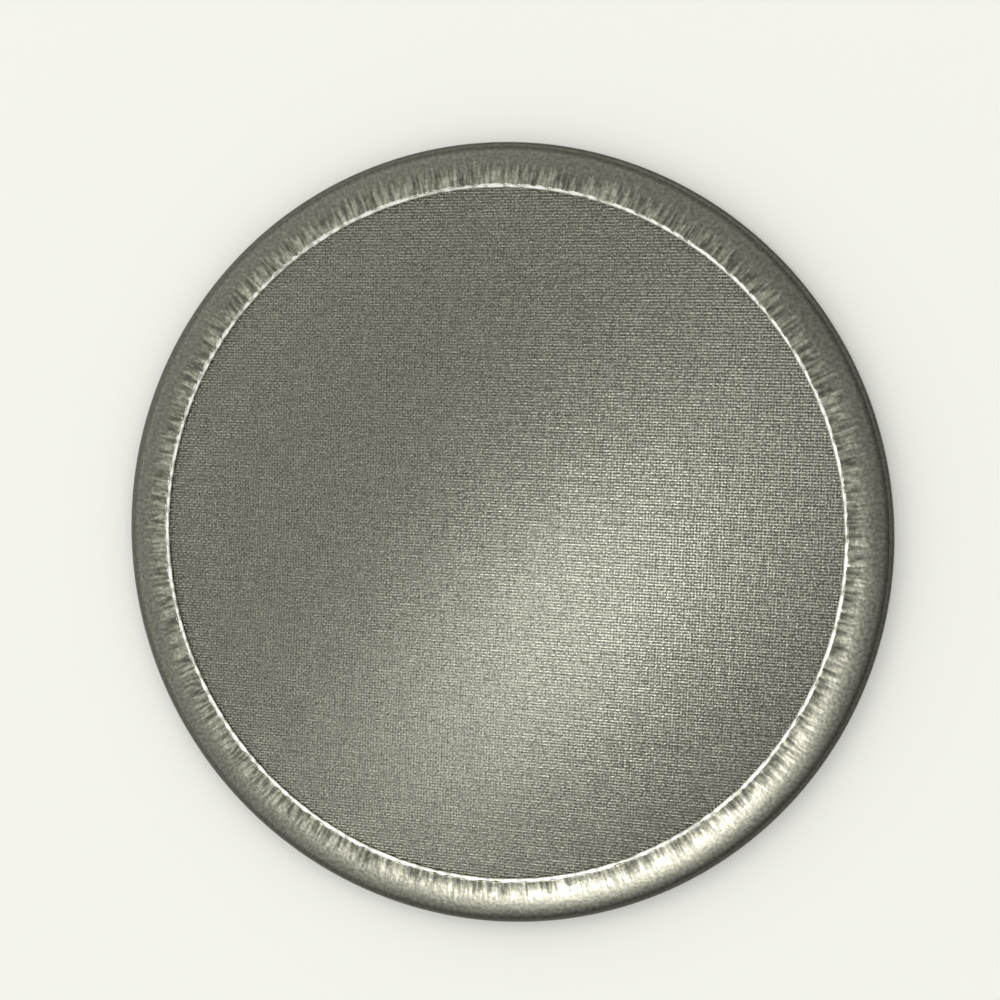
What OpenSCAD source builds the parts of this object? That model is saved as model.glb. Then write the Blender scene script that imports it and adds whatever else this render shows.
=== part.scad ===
// Rimmed filter disc: two plain-woven wire cloths, a fine one over a coarser one,
// held at their edge in a ring of folded sheet steel. It lies flat on the lower crown
// of its rim. Millimetres, +Z up, origin at the bottom centre.

/* [Disc] */
// Outside diameter over the rim
disc_d = 85; // [75:0.5:110]

/* [Rim] */
// Thickness of the rim's sheet
sheet_t = 0.5; // [0.35:0.05:0.6]
// Width of the rim's face, from the outside to the edge of the lip
face_w = 4.9; // [4.2:0.1:7]
// Rise of the crown above the lip
crown_rise = 0.15; // [0.1:0.01:0.3]
// Width of the flat on top of each crown
crown_w = 0.75; // [0.3:0.05:1]
// Inside radius of the two bends of the fold
bend_r = 0.3; // [0.2:0.05:0.4]
// Width of the lip that is pressed flat on the cloth
lip_land = 0.4; // [0.3:0.05:0.8]
// Bevel burnished on the upper edge of each lip
lip_bevel = 0.3; // [0.1:0.05:0.3]

/* [Filter cloth] */
// Pitch of the fine wires
filter_pitch = 0.3175; // [0.25:0.0025:0.5]
// Diameter of the fine wires
filter_wire = 0.12; // [0.08:0.01:0.2]
// Turn of the fine cloth about the disc's axis, in degrees
filter_turn = -2; // [-45:1:45]

/* [Support cloth] */
// Pitch of the coarse wires
support_pitch = 0.508; // [0.4:0.002:1]
// Diameter of the coarse wires
support_wire = 0.2; // [0.12:0.01:0.3]
// Turn of the coarse cloth about the disc's axis, in degrees
support_turn = 6.5; // [-45:0.5:45]

/* [Cloth edge] */
// Thickness left between the grooves of the two faces of a cloth
cloth_web = 0.06; // [0.03:0.01:0.1]
// Clearance between the cut edge of the cloths and the inside of the fold
edge_gap = 0.3; // [0.1:0.05:0.6]

/* [Gaps] */
// Spacing of the gaps that stand for the openings of the weave
gap_pitch = 6.35; // [6.25:0.05:9]
// Width of each gap, which leaves each cloth about the open share of its weave
gap_w = 3.9; // [1:0.1:4.5]

/* [Hidden] */
$fn = 180;
eps = 0.01;
gap_margin = 0.3;

// Levels: the two cloths fill the slot between the lips
filter_t = 2 * filter_wire;
support_t = 2 * support_wire;
slot_t = filter_t + support_t;
half_slot = slot_t / 2;
crown_z = half_slot + sheet_t + crown_rise;
filter_z = half_slot - filter_t / 2;
support_z = support_t / 2 - half_slot;

// Radii across the rim, from the outside in
disc_r = disc_d / 2;
fold_r = bend_r + sheet_t;
bend_x = disc_r - fold_r;
face_x = bend_x - crown_w;
lip_x = disc_r - face_w;
land_x = lip_x + lip_land;
cloth_r = disc_r - sheet_t - edge_gap;

// Slope between crown and lip: two like arcs that meet half way, where it is steepest
face_run = face_x - land_x;
slope = 2 * atan(crown_rise / face_run);
slope_r = face_run / (2 * sin(slope));
meet_x = (face_x + land_x) / 2;
meet_z = half_slot + (sheet_t + crown_rise) / 2;

// Quarter of the fold, from the crown round to the outside wall
module bend_section() {
    translate([bend_x, crown_z - fold_r]) intersection() {
        difference() {
            circle(fold_r);
            circle(bend_r);
        }
        square(fold_r + eps);
    }
}

// Sheet bent to the slope's radius, round a centre in the middle of its thickness
module bent_sheet() {
    difference() {
        circle(slope_r + sheet_t / 2);
        circle(slope_r - sheet_t / 2);
    }
}

// Half of the section's plane, outward of the point where the two arcs meet
module outward_side() {
    translate([meet_x, meet_z]) rotate(slope) translate([0, -face_w]) square(2 * face_w);
}

// Lap inside the sheet that keeps the two arcs in one piece where they meet
module arc_lap() {
    translate([meet_x, meet_z]) rotate(slope) square([2 * eps, sheet_t / 2], center = true);
}

// Slope from the crown's flat down to the lip
module slope_section() {
    intersection() {
        translate([land_x, 0]) square([face_run, crown_z + sheet_t]);
        union() {
            intersection() {
                translate([face_x, crown_z - sheet_t / 2 - slope_r]) bent_sheet();
                outward_side();
            }
            difference() {
                translate([land_x, half_slot + sheet_t / 2 + slope_r]) bent_sheet();
                outward_side();
            }
            arc_lap();
        }
    }
}

// Lip that lies flat on the cloth, with its upper edge bevelled
module lip_section() {
    difference() {
        translate([lip_x, half_slot]) square([lip_land, sheet_t]);
        translate([lip_x, half_slot + sheet_t - lip_bevel]) rotate(45)
            translate([-lip_bevel, 0]) square(3 * lip_bevel);
    }
}

// Upper half of the rim's section, from the lip to the outside wall
module upper_section() {
    lip_section();
    slope_section();
    translate([face_x, crown_z - sheet_t]) square([crown_w, sheet_t]);
    bend_section();
    translate([disc_r - sheet_t, 0]) square([sheet_t, crown_z - fold_r]);
}

// Ridges of one face of a cloth: a V groove between each two wires, which run along X
module wire_ridges(pitch, wire) {
    count = ceil(cloth_r / pitch) + 1;
    end = (count + 0.5) * pitch;
    groove_z = cloth_web / 2;
    outline = concat(
        [[-end, 0], [-end, groove_z]],
        [for (i = [-count:count]) each [[i * pitch, wire], [(i + 0.5) * pitch, groove_z]]],
        [[end, 0]]);
    intersection() {
        rotate([90, 0, 90]) linear_extrude(2 * end, center = true) polygon(outline);
        cylinder(h = 2 * wire, r = cloth_r);
    }
}

// Plain grid of square gaps, as far out as the lips leave the cloths open
module gap_grid() {
    count = ceil(lip_x / gap_pitch);
    places = [for (i = [-count:count - 1]) (i + 0.5) * gap_pitch];
    for (x = places, y = places)
        if (norm([abs(x) + gap_w / 2, abs(y) + gap_w / 2]) < lip_x - gap_margin)
            translate([x, y]) cube([gap_w, gap_w, 2 * slot_t], center = true);
}

// Cloth with the wires of one direction on its upper face and of the other on its lower
module woven_cloth(pitch, wire, turn) {
    difference() {
        rotate(turn) {
            wire_ridges(pitch, wire);
            rotate([180, 0, 90]) wire_ridges(pitch, wire);
        }
        rotate(filter_turn) gap_grid();
    }
}

module rim() {
    color([0.50, 0.49, 0.45]) translate([0, 0, crown_z]) rotate_extrude() {
        upper_section();
        mirror([0, 1]) upper_section();
    }
}

module filter_mesh() {
    color([0.56, 0.55, 0.51]) translate([0, 0, crown_z + filter_z])
        woven_cloth(filter_pitch, filter_wire, filter_turn);
}

module support_mesh() {
    color([0.44, 0.43, 0.40]) translate([0, 0, crown_z + support_z])
        woven_cloth(support_pitch, support_wire, support_turn);
}

rim();
filter_mesh();
support_mesh();
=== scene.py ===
"""Looks of a rimmed wire mesh filter disc: two woven wire cloths in a crimped rim of sheet steel."""

import math
import random
from collections import namedtuple

import bmesh
import bpy
import numpy as np
from mathutils import Matrix, Vector


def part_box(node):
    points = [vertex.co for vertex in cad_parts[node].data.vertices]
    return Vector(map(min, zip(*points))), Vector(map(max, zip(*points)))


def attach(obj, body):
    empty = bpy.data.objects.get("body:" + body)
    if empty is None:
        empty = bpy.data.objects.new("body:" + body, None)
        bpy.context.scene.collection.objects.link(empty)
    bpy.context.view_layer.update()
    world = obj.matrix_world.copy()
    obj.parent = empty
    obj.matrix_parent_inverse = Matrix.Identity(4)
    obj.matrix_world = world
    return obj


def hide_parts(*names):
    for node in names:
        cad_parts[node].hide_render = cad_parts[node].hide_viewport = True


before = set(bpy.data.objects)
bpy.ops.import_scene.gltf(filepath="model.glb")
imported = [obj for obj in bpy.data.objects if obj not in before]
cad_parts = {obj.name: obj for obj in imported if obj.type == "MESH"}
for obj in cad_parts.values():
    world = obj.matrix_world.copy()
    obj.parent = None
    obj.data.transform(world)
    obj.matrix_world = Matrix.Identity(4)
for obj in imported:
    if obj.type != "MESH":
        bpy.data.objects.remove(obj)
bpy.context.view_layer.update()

MM = 0.001
BODY = "root"

# Sizes read from the frame
rim_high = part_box("rim")[1]
filter_low, filter_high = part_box("filter_mesh")
support_low, support_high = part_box("support_mesh")
disc_radius = rim_high.y
mid_z = rim_high.z / 2
cloth_radius = filter_high.y
half_slot = filter_high.z - mid_z

# Sizes of the rim's section, as the part has them
SHEET = 0.5 * MM
FACE_WIDTH = 4.9 * MM
CROWN_FLAT = 0.75 * MM
BEND_RADIUS = 0.3 * MM
LIP_LAND = 0.4 * MM
LIP_BEVEL = 0.3 * MM

# Places on the section: start of the outer bend, edge of the lip, end of the lip's land, and its top
bend_start = disc_radius - BEND_RADIUS - SHEET
lip_radius = disc_radius - FACE_WIDTH
land_radius = lip_radius + LIP_LAND
lip_top = half_slot + SHEET

# Fall of the crown toward the lip, ahead of the slope, and the width over which it grows
CROWN_FALL = 0.02 * MM
FALL_WIDTH = 2 * CROWN_FLAT

# Steps of the rim round the ring, made as a sector that is doubled, and along the arcs of its section
SECTOR_STEPS = 112
DOUBLINGS = 4
RIM_STEPS = SECTOR_STEPS * 2 ** DOUBLINGS
BEND_STEPS = 5
INNER_BEND_STEPS = 2
SLOPE_STEPS = 4

# Distances within which points count as one, or as level with each other
MERGED = 0.001 * MM
NEAR = 0.005 * MM

# Puckers that the crimping left on each face of the rim: how many, and their least and greatest sizes
PUCKERS = 520
PUCKER_WIDTH = (0.1 * MM, 0.4 * MM)
PUCKER_LENGTH = (0.5 * MM, 2.6 * MM)
PUCKER_HEIGHT = (0.004 * MM, 0.032 * MM)
# Their commonest height, the ways they stand, and how many widths from its middle one is felt
COMMON_HEIGHT = 0.013 * MM
PUCKER_WAYS = (1, 1, -1)
PUCKER_REACH = 3
RIM_SEED = 11

# Width of the burnished edge as a share of the bevel: its mean, its limits, and its swell toward one side
EDGE_MEAN = 0.95
EDGE_LIMITS = (0.5, 1.25)
EDGE_SWELL = 0.15
SWELL_ANGLE = -0.2
# Waves of that width round the lip: how many, how fine and how deep
EDGE_WAVES = 14
EDGE_FINENESS = (9, 170)
EDGE_DEPTH = 0.15
# Depth below the lip's top from which a face belongs to the bevel
BEVEL_MARGIN = LIP_BEVEL / 8

# Lay of the two cloths: pitch, turn on the disc, wire diameter and level of the middle
Cloth = namedtuple("Cloth", "node slot pitch turn wire mid")
fine_cloth = Cloth("filter_mesh", "filter_wire", 0.3175 * MM, math.radians(-2),
                   (filter_high.z - filter_low.z) / 2, (filter_high.z + filter_low.z) / 2)
coarse_cloth = Cloth("support_mesh", "support_wire", 0.508 * MM, math.radians(6.5),
                     (support_high.z - support_low.z) / 2, (support_high.z + support_low.z) / 2)

# Wires: sides of their section, how far they stray as a share of the pitch, and pitches woven past the lip
WIRE_SIDES = 3
STRAY = 0.06
WOVEN_PAST = 2

# Looks of wires: colour of the flank, as painted shade, and of the rolled crest, as painted highlight,
# roughness, and dull and bright specks, as painted glints
FinishAndPaintedLight = namedtuple("FinishAndPaintedLight", "flank crest roughness dull bright")
# The fine cloth's warp is given darker colours than its weft as painted shade, though both are one steel
FILTER_WEFT = FinishAndPaintedLight((0.64, 0.63, 0.53, 1), (0.71, 0.70, 0.59, 1), 0.31, 0.45, 1.34)
FILTER_WARP = FinishAndPaintedLight((0.34, 0.334, 0.281, 1), (0.47, 0.462, 0.388, 1), 0.3, 0.45, 1.45)
SUPPORT = FinishAndPaintedLight((0.44, 0.432, 0.363, 1), (0.8, 0.787, 0.66, 1), 0.28, 0.7, 1.18)
# Streaks per metre along and across a wire, and patches per pitch of its cloth
STREAKS_ALONG = 250
STREAKS_ACROSS = 2600
PATCHES = 1.5
# How far the patches spread the rolled crests, and how much smoother a crest is
CREST_SPREAD = 1.6
CREST_POLISH = 0.02
# Depth of the dents in a wire, and slope of the cloths' shading along weft and warp, toward the lamp
WIRE_DENT = 0.016 * MM
WEFT_LEAN = 0.0096
WARP_LEAN = 0.03
# How far the shine is drawn out, and which way, as a share of a turn from the map's own
DRAWN_OUT = 0.6
WIPED = 0.135
WIRE_MAP = "OFBake"

# Grain of the rim and its painted crimp streaks: streaks per radian and per metre of radius, mottle and cloud
# per metre, and dents
RIM_STREAKS_ROUND = 90
RIM_STREAKS_ALONG = 400
MOTTLE = 2600
CLOUD = 160
RIM_DENT = 0.008 * MM
# Roughness of the rim, and what its mottle and cloud add
RIM_ROUGHNESS = 0.13
MOTTLE_ROUGHNESS = 0.12
CLOUD_ROUGHNESS = 0.1
# How far the streaks and the cloud make ragged the edge of the band of painted crimp streaks
RAGGED_STREAK = 0.45
RAGGED_CLOUD = 0.3
# Patches of the burnished edge per metre, its roughness, and what the patches add
EDGE_PATCHES = 1100
EDGE_ROUGHNESS = 0.3
PATCH_ROUGHNESS = 0.2


# Materials

def new_material(name):
    material = bpy.data.materials.new(name)
    material.use_nodes = True
    shader = material.node_tree.nodes["Principled BSDF"]
    shader.inputs["Metallic"].default_value = 1.0
    return material, material.node_tree, shader


def grey(level):
    return level, level, level


def feed(tree, socket, value):
    """Links a node's output to a socket, or sets the socket to a number or colour."""
    if isinstance(value, bpy.types.NodeSocket):
        tree.links.new(value, socket)
    else:
        socket.default_value = value


def calc(tree, operation, *values):
    node = tree.nodes.new("ShaderNodeMath")
    node.operation = operation
    for socket, value in zip(node.inputs, values):
        feed(tree, socket, value)
    return node.outputs[0]


def times(tree, first, second):
    return calc(tree, "MULTIPLY", first, second)


def combine(tree, *values):
    node = tree.nodes.new("ShaderNodeCombineXYZ")
    for socket, value in zip(node.inputs, values):
        feed(tree, socket, value)
    return node.outputs[0]


def ramp(tree, factor, *stops):
    """Colour that changes with a factor, from (place, colour) stops in rising order."""
    node = tree.nodes.new("ShaderNodeValToRGB")
    elements = node.color_ramp.elements
    while len(elements) < len(stops):
        elements.new(0.5)
    for element, (place, colour) in zip(elements, stops):
        element.position = place
        element.color = (*colour, 1)
    feed(tree, node.inputs["Fac"], factor)
    return node.outputs["Color"]


def mix(tree, factor, first, second, blend="MIX"):
    node = tree.nodes.new("ShaderNodeMix")
    node.data_type = "RGBA"
    node.blend_type = blend
    feed(tree, node.inputs[0], factor)
    feed(tree, node.inputs[6], first)
    feed(tree, node.inputs[7], second)
    return node.outputs[2]


def tinted(tree, colour, tint):
    return mix(tree, 1.0, colour, tint, "MULTIPLY")


def noise(tree, vector, scale=1.0, detail=2.0):
    node = tree.nodes.new("ShaderNodeTexNoise")
    node.inputs["Scale"].default_value = scale
    node.inputs["Detail"].default_value = detail
    feed(tree, node.inputs["Vector"], vector)
    return node.outputs["Fac"]


def bump(tree, height, distance):
    node = tree.nodes.new("ShaderNodeBump")
    node.inputs["Strength"].default_value = 1.0
    node.inputs["Distance"].default_value = distance
    feed(tree, node.inputs["Height"], height)
    return node.outputs[0]


def object_point(tree, turn=0.0):
    """Point on the piece, turned about the disc's axis, whole and as its x and y."""
    mapping = tree.nodes.new("ShaderNodeMapping")
    mapping.inputs["Rotation"].default_value = (0, 0, turn)
    feed(tree, mapping.inputs["Vector"], tree.nodes.new("ShaderNodeTexCoord").outputs["Object"])
    point = mapping.outputs[0]
    split = tree.nodes.new("ShaderNodeSeparateXYZ")
    feed(tree, split.inputs[0], point)
    return point, split.outputs[0], split.outputs[1]


def drawn_wire(name, cloth, along_x, finish_and_light):
    """Drawn steel wire with its knuckles rolled flat and polished, a painted highlight on the rolled crests
    and painted shade on the flanks, painted glints in patches, and each wire a little unlike the next.
    """
    material, tree, shader = new_material(name)
    point, x, y = object_point(tree, -cloth.turn)
    run, side = (x, y) if along_x else (y, x)
    streak = noise(tree, combine(tree, times(tree, run, STREAKS_ALONG), times(tree, side, STREAKS_ACROSS)))
    patch = noise(tree, point, PATCHES / cloth.pitch, 1.0)
    phase_x = calc(tree, "COSINE", times(tree, x, math.pi / cloth.pitch))
    phase_y = calc(tree, "COSINE", times(tree, y, math.pi / cloth.pitch))
    height = times(tree, times(tree, phase_x, phase_y), 1.0 if along_x else -1.0)
    rolled = calc(tree, "MULTIPLY_ADD", calc(tree, "SUBTRACT", patch, 0.5), CREST_SPREAD, height)
    # Rolled crests: a little smoother, and given the crest colour as a painted highlight, with the flank
    # colour as painted shade around them
    flat = ramp(tree, rolled, (0.1, grey(0)), (0.6, grey(1)))
    tint = ramp(tree, streak, (0.3, grey(0.75)), (0.7, grey(1.05)))
    # Painted glints: the colour goes darker and lighter in patches
    painted_sparkle = ramp(tree, patch, (0.36, grey(finish_and_light.dull)), (0.5, grey(0.95)), (0.64, grey(finish_and_light.bright)))
    shade = tinted(tree, mix(tree, flat, finish_and_light.flank, finish_and_light.crest), tint)
    feed(tree, shader.inputs["Base Color"], tinted(tree, shade, painted_sparkle))
    feed(tree, shader.inputs["Roughness"], calc(tree, "MULTIPLY_ADD", flat, -CREST_POLISH, finish_and_light.roughness))
    tangent = tree.nodes.new("ShaderNodeTangent")
    tangent.direction_type = "UV_MAP"
    tangent.uv_map = WIRE_MAP
    feed(tree, shader.inputs["Tangent"], tangent.outputs[0])
    shader.inputs["Anisotropic"].default_value = DRAWN_OUT
    shader.inputs["Anisotropic Rotation"].default_value = WIPED
    dent = calc(tree, "ADD", streak, patch)
    lean = calc(tree, "MULTIPLY_ADD", x, WEFT_LEAN / WIRE_DENT, times(tree, y, WARP_LEAN / WIRE_DENT))
    feed(tree, shader.inputs["Normal"], bump(tree, calc(tree, "ADD", dent, lean), WIRE_DENT))
    return material


def rim_steel():
    """Satin sheet with a fine mottle, crimp streaks by the lip painted as reflections, a face lighter toward
    the lip, and a darker outer bend that is a painted dark reflection.
    """
    material, tree, shader = new_material("rim_steel")
    point, x, y = object_point(tree)
    angle = calc(tree, "ARCTAN2", y, x)
    radius = calc(tree, "SQRT", calc(tree, "MULTIPLY_ADD", x, x, times(tree, y, y)))
    inward = calc(tree, "DIVIDE", calc(tree, "SUBTRACT", disc_radius, radius), FACE_WIDTH)
    lay = combine(tree, times(tree, angle, RIM_STREAKS_ROUND), times(tree, radius, RIM_STREAKS_ALONG))
    streak = noise(tree, lay, 1.0, 6.0)
    mottle = noise(tree, point, MOTTLE, 3.0)
    cloud = noise(tree, point, CLOUD)
    # Colour across the face: the outer bend painted dark as a painted reflection, and the face lighter toward
    # the lip
    band = ramp(tree, inward, (0.0, (0.04, 0.039, 0.032)), (0.13, (0.08, 0.078, 0.064)),
                (0.24, (0.33, 0.323, 0.27)), (0.5, (0.36, 0.353, 0.294)), (0.62, (0.39, 0.382, 0.32)),
                (0.74, (0.49, 0.48, 0.402)), (1.0, (0.52, 0.51, 0.425)))
    plain = ramp(tree, mottle, (0.3, (0.74, 0.74, 0.73)), (0.5, (0.98, 0.98, 0.97)),
                 (0.7, (1.25, 1.25, 1.24)))
    # Painted reflection streaks over the crimp puckers by the lip, lighter and darker than the sheet
    crimped = ramp(tree, streak, (0.38, (0.45, 0.45, 0.44)), (0.5, (0.93, 0.93, 0.92)),
                   (0.62, (1.5, 1.5, 1.48)))
    clouded = calc(tree, "MULTIPLY_ADD", cloud, RAGGED_CLOUD, inward)
    ragged = calc(tree, "MULTIPLY_ADD", streak, RAGGED_STREAK, clouded)
    inner = ramp(tree, ragged, (0.8, grey(0)), (1.0, grey(1)))
    sheet = tinted(tree, band, plain)
    feed(tree, shader.inputs["Base Color"], mix(tree, inner, sheet, tinted(tree, sheet, crimped)))
    grain = calc(tree, "MULTIPLY_ADD", mottle, MOTTLE_ROUGHNESS, times(tree, cloud, CLOUD_ROUGHNESS))
    feed(tree, shader.inputs["Roughness"], calc(tree, "ADD", grain, RIM_ROUGHNESS))
    feed(tree, shader.inputs["Normal"], bump(tree, mottle, RIM_DENT))
    return material


def burnished_edge_highlight():
    """Band where the tool burnished the sheared edge of the lip, painted near white in patches as a painted
    highlight.
    """
    material, tree, shader = new_material("burnished_edge_highlight")
    patch = noise(tree, object_point(tree)[0], EDGE_PATCHES, 4.0)
    # Painted highlight: the bevel's colour goes to near white in patches
    colour = ramp(tree, patch, (0.36, (0.5, 0.495, 0.455)), (0.52, (0.97, 0.96, 0.92)))
    feed(tree, shader.inputs["Base Color"], colour)
    roughness = calc(tree, "MULTIPLY_ADD", patch, PATCH_ROUGHNESS, EDGE_ROUGHNESS)
    feed(tree, shader.inputs["Roughness"], roughness)
    return material


# Pieces

def show(name, data):
    """Puts a mesh, lamp or camera in the scene as an object at the origin."""
    shown = bpy.data.objects.new(name, data)
    bpy.context.scene.collection.objects.link(shown)
    return shown


def show_mesh(name, bm, *materials):
    """Puts a finished bmesh in the scene."""
    mesh = bpy.data.meshes.new(name)
    bm.to_mesh(mesh)
    bm.free()
    mesh.shade_smooth()
    for material in materials:
        mesh.materials.append(material)
    return show(name, mesh)


def flat_map(piece):
    """Maps the piece's surface as it is seen from above."""
    mesh = piece.data
    points = np.empty(3 * len(mesh.vertices), dtype=np.float32)
    corners = np.empty(len(mesh.loops), dtype=np.int32)
    mesh.vertices.foreach_get("co", points)
    mesh.loops.foreach_get("vertex_index", corners)
    places = points.reshape(-1, 3)[corners, :2] / (2 * disc_radius) + 0.5
    mesh.uv_layers.new(name=WIRE_MAP).data.foreach_set("uv", places.ravel())


def bend_strand(strand, cloth, index, sign, rng):
    """Makes one wire along X in an empty bmesh: over and under each crossing, then straight on under the rim.
    Its rolled side, which has sharp edges, faces out of the disc."""
    offset = (index + rng.uniform(-STRAY, STRAY)) * cloth.pitch
    half = math.sqrt(cloth_radius ** 2 - offset ** 2)
    reach = lip_radius + WOVEN_PAST * cloth.pitch
    steps = int(math.sqrt(max(reach ** 2 - offset ** 2, 0)) / cloth.pitch) + 1
    radius = cloth.wire / math.sqrt(3)
    outward = math.copysign(1, cloth.mid - mid_z)
    lying = Matrix.Rotation(outward * math.radians(-90), 4, "X") @ Matrix.Rotation(math.radians(90), 4, "Y")
    bmesh.ops.create_cone(strand, cap_ends=True, segments=WIRE_SIDES, radius1=radius, radius2=radius,
                          depth=2 * steps * cloth.pitch, matrix=lying)
    lengthwise = [e for e in strand.edges if abs(e.verts[0].co.x - e.verts[1].co.x) > cloth.pitch]
    for e in lengthwise:
        e.smooth = e.verts[0].co.z * outward < 0
    bmesh.ops.subdivide_edges(strand, edges=lengthwise, cuts=2 * steps - 1)
    seat = outward * (cloth.wire / 2 - radius / 2)
    for v in strand.verts:
        crossing = round(v.co.x / cloth.pitch)
        over = sign if (index + crossing) % 2 == 0 else -sign
        if abs(crossing) == steps:
            v.co.x = math.copysign(half, crossing)
            over = sign
        v.co.y += offset
        v.co.z += seat + over * cloth.wire / 2


def woven_wires(name, cloth, along_x, every, first, material):
    """Wires of one direction of a plain weave: all of them, or every second one."""
    rng = random.Random(name)
    sign = 1 if along_x else -1
    count = int(cloth_radius / cloth.pitch)
    one = bpy.data.meshes.new("one_wire")
    bm = bmesh.new()
    for index in range(-count, count + 1):
        if index % every != first:
            continue
        strand = bmesh.new()
        bend_strand(strand, cloth, index, sign, rng)
        strand.to_mesh(one)
        strand.free()
        bm.from_mesh(one)
    bpy.data.meshes.remove(one)
    turn = cloth.turn if along_x else cloth.turn + math.radians(90)
    bmesh.ops.rotate(bm, verts=bm.verts, cent=(0, 0, 0), matrix=Matrix.Rotation(turn, 3, "Z"))
    bmesh.ops.translate(bm, verts=bm.verts, vec=(0, 0, cloth.mid))
    wires = show_mesh(name, bm, material)
    flat_map(wires)
    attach(wires, BODY)
    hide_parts(cloth.node)


def filter_cloth():
    weft = drawn_wire("filter_weft_steel", fine_cloth, True, FILTER_WEFT)
    warp = drawn_wire("filter_warp_steel", fine_cloth, False, FILTER_WARP)
    for shed, first in (("even", 0), ("odd", 1)):
        woven_wires(f"filter_weft_{shed}", fine_cloth, True, 2, first, weft)
        woven_wires(f"filter_warp_{shed}", fine_cloth, False, 2, first, warp)


def support_cloth():
    for way, along_x in (("weft", True), ("warp", False)):
        steel = drawn_wire(f"support_{way}_steel", coarse_cloth, along_x, SUPPORT)
        woven_wires(f"support_{way}", coarse_cloth, along_x, 1, 0, steel)


def arc(centre, radius, start, end, count):
    """Points on an arc in the plane of the rim's section, from one angle to another in degrees."""
    angles = [math.radians(start + (end - start) * k / count) for k in range(count + 1)]
    return [(centre[0] + radius * math.cos(a), centre[1] + radius * math.sin(a)) for a in angles]


def half_section():
    """Upper half of the rim's section: up the outside, over to the lip, and back inside the fold."""
    fold = BEND_RADIUS + SHEET
    bend_centre = (bend_start, mid_z - fold)
    face_radius = bend_start - CROWN_FLAT
    run = face_radius - land_radius
    slope = 2 * math.atan((mid_z - lip_top) / run)
    slope_radius = run / (2 * math.sin(slope))
    crown_centre = (face_radius, mid_z - SHEET / 2 - slope_radius)
    lip_centre = (land_radius, half_slot + SHEET / 2 + slope_radius)
    lean = math.degrees(slope)
    outside = arc(bend_centre, fold, 0, 90, BEND_STEPS)
    outside += arc(crown_centre, slope_radius + SHEET / 2, 90, 90 + lean, SLOPE_STEPS)
    outside += arc(lip_centre, slope_radius - SHEET / 2, 270 + lean, 270, SLOPE_STEPS)[1:]
    lip = [(lip_radius + LIP_BEVEL, lip_top), (lip_radius + LIP_BEVEL / 2, lip_top - LIP_BEVEL / 2),
           (lip_radius, lip_top - LIP_BEVEL), (lip_radius, half_slot)]
    inside = arc(lip_centre, slope_radius + SHEET / 2, 270, 270 + lean, 1)
    inside += arc(crown_centre, slope_radius - SHEET / 2, 90 + lean, 90, 1)[1:]
    return outside + lip + inside + arc(bend_centre, BEND_RADIUS, 90, 0, INNER_BEND_STEPS)


def smooth_step(t):
    t = min(max(t, 0.0), 1.0)
    return t * t * (3 - 2 * t)


def crown_fall(r):
    """Share of the crown's fall at a radius: it grows inward from the bend, and is gone at the lip's land."""
    fall_end = bend_start - FALL_WIDTH
    if r > fall_end:
        return (bend_start - r) / FALL_WIDTH
    return smooth_step((r - land_radius) / (fall_end - land_radius))


def lay_puckers(rng):
    """Puckers of one face, by step round the ring: how strong each is there, its length and its height."""
    laid = [[] for _ in range(RIM_STEPS)]
    step = 2 * math.pi * lip_radius / RIM_STEPS
    for _ in range(PUCKERS):
        place = rng.uniform(0, RIM_STEPS)
        width = rng.triangular(*PUCKER_WIDTH) / step
        length = rng.uniform(*PUCKER_LENGTH)
        height = rng.choice(PUCKER_WAYS) * rng.triangular(*PUCKER_HEIGHT, COMMON_HEIGHT)
        reach = PUCKER_REACH * width
        for k in range(int(place - reach), int(place + reach) + 1):
            laid[k % RIM_STEPS].append((math.exp(-((k - place) / width) ** 2), length, height))
    return laid


def edge_width(rng):
    """Width of the burnished edge as a function of the angle round the lip."""
    waves = [(rng.randint(*EDGE_FINENESS), rng.uniform(0, 2 * math.pi), rng.uniform(-1, 1))
             for _ in range(EDGE_WAVES)]

    def width(angle):
        wave = sum(depth * math.sin(count * angle + start) for count, start, depth in waves)
        share = EDGE_MEAN + EDGE_SWELL * math.cos(angle - SWELL_ANGLE) + EDGE_DEPTH * wave
        return LIP_BEVEL * min(max(share, EDGE_LIMITS[0]), EDGE_LIMITS[1])

    return width


def spun_section(section):
    """Ring of the section: one sector is spun, and then doubled until it closes."""
    bm = bmesh.new()
    line = [bm.verts.new((r, 0, mid_z + z)) for r, z in section]
    edges = [bm.edges.new(pair) for pair in zip(line, line[1:] + line[:1])]
    sector = 2 * math.pi / 2 ** DOUBLINGS
    bmesh.ops.spin(bm, geom=line + edges, cent=(0, 0, 0), axis=(0, 0, 1), dvec=(0, 0, 0),
                   angle=sector, steps=SECTOR_STEPS)
    for doubling in range(DOUBLINGS):
        copied = bmesh.ops.duplicate(bm, geom=bm.verts[:] + bm.edges[:] + bm.faces[:])
        verts = [g for g in copied["geom"] if isinstance(g, bmesh.types.BMVert)]
        turn = Matrix.Rotation(sector * 2 ** doubling, 3, "Z")
        bmesh.ops.rotate(bm, verts=verts, cent=(0, 0, 0), matrix=turn)
    bmesh.ops.remove_doubles(bm, verts=bm.verts, dist=MERGED)
    bmesh.ops.recalc_face_normals(bm, faces=bm.faces)
    return bm


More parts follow.
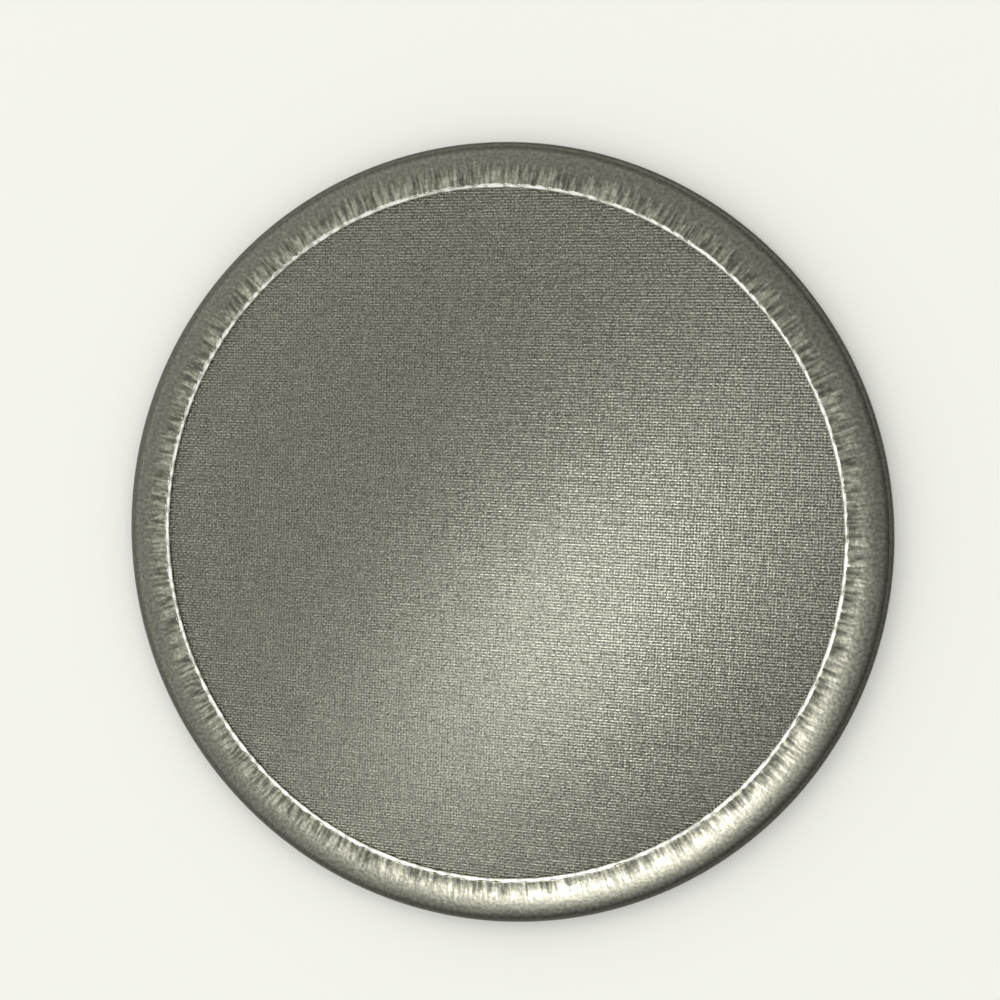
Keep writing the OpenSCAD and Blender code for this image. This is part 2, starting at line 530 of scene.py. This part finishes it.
def crimped_rim():
    """Rim with its puckers, and with an uneven burnished edge on each lip."""
    half = half_section()
    bm = spun_section(half + [(r, -z) for r, z in reversed(half)])
    rng = random.Random(RIM_SEED)
    puckers = {1: lay_puckers(rng), -1: lay_puckers(rng)}
    widths = {1: edge_width(rng), -1: edge_width(rng)}
    for v in bm.verts:
        r = math.hypot(v.co.x, v.co.y)
        angle = math.atan2(v.co.y, v.co.x)
        side = 1 if v.co.z > mid_z else -1
        level = abs(v.co.z - mid_z)
        if level > lip_top - NEAR and r < bend_start:
            v.co.z -= side * CROWN_FALL * crown_fall(r)
            k = round(angle / (2 * math.pi) * RIM_STEPS) % RIM_STEPS
            v.co.z += side * sum(height * share * (1 - smooth_step((r - lip_radius) / length))
                                 for share, length, height in puckers[side][k])
        if level > lip_top - LIP_BEVEL + NEAR and NEAR < r - lip_radius < LIP_BEVEL + NEAR:
            moved = lip_radius + (r - lip_radius) / LIP_BEVEL * widths[side](angle)
            v.co.x *= moved / r
            v.co.y *= moved / r
    for f in bm.faces:
        centre = f.calc_center_median()
        depth = lip_top - abs(centre.z - mid_z)
        if math.hypot(centre.x, centre.y) < land_radius and BEVEL_MARGIN < depth < LIP_BEVEL:
            f.material_index = 1
    rim = show_mesh("rim_ring", bm, rim_steel(), burnished_edge_highlight())
    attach(rim, BODY)
    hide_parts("rim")


filter_cloth()
support_cloth()
crimped_rim()


# Table, light and camera

TABLE_HALF = 3.0
LAMP_SIDE = 0.12
LAMP_POWER = 0.68
# Change of the room's light half way up toward +Y, and low down toward +X
ROOM_AHEAD = 0.8
ROOM_ACROSS = -0.15
# Focal length as a share of the picture's width
FOCAL_SHARE = 1.142


def table():
    material, _, shader = new_material("pale_table")
    shader.inputs["Metallic"].default_value = 0.0
    shader.inputs["Base Color"].default_value = (0.90, 0.90, 0.865, 1)
    shader.inputs["Roughness"].default_value = 0.6
    bm = bmesh.new()
    bmesh.ops.create_grid(bm, x_segments=1, y_segments=1, size=TABLE_HALF)
    show_mesh("table", bm, material)


def facing(place, x_axis, y_axis, z_axis):
    """Place and turn of an object whose own axes point in the three directions given."""
    return Matrix.Translation(place) @ Matrix((x_axis, y_axis, z_axis)).transposed().to_4x4()


def ceiling_lamp():
    """Square lamp high above the disc, off toward -X and -Y."""
    place = Vector((-0.154, -0.213, 1.0))
    aim = Vector((0.011, -0.007, 0.0))
    along_side = Vector((0.66, 0.75, 0.0))
    lamp = bpy.data.lights.new("ceiling_lamp", "AREA")
    lamp.shape = "SQUARE"
    lamp.size = LAMP_SIDE
    lamp.energy = LAMP_POWER
    back = (place - aim).normalized()
    across = back.cross(along_side).normalized()
    show("ceiling_lamp", lamp).matrix_world = facing(place, across.cross(back), across, back)


def room_light():
    """Soft light from all sides: brighter low down than overhead, toward +Y, and a little toward -X."""
    world = bpy.data.worlds.new("soft_room")
    world.use_nodes = True
    tree = world.node_tree
    background = tree.nodes["Background"]
    split = tree.nodes.new("ShaderNodeSeparateXYZ")
    feed(tree, split.inputs[0], tree.nodes.new("ShaderNodeTexCoord").outputs["Generated"])
    x, y, z = split.outputs
    sky = ramp(tree, z, (0.0, (1.56, 1.56, 1.51)), (0.6, (1.4, 1.4, 1.355)),
               (0.84, (0.42, 0.42, 0.405)), (0.94, (0.41, 0.41, 0.395)), (1.0, (0.25, 0.25, 0.24)))
    feed(tree, background.inputs["Color"], sky)
    cubed = times(tree, x, times(tree, x, x))
    change = calc(tree, "MULTIPLY_ADD", times(tree, y, z), ROOM_AHEAD, times(tree, cubed, ROOM_ACROSS))
    feed(tree, background.inputs["Strength"], calc(tree, "ADD", change, 1.0))
    bpy.context.scene.world = world


def camera():
    """Camera that looks down on the disc from right of its middle."""
    eye = Vector((28.56, 9.22, 122.2)) * MM
    aim = Vector((1.66, 4.04, 1.2)) * MM
    view = (aim - eye).normalized()
    right = view.cross(Vector((0, 1, 0))).normalized()
    data = bpy.data.cameras.new("camera")
    data.sensor_width = 36.0
    data.lens = FOCAL_SHARE * data.sensor_width
    data.clip_start = 1 * MM
    camera_object = show("camera", data)
    camera_object.matrix_world = facing(eye, right, right.cross(view), -view)
    bpy.context.scene.camera = camera_object


table()
ceiling_lamp()
room_light()
camera()
bpy.context.scene.view_settings.view_transform = "Standard"
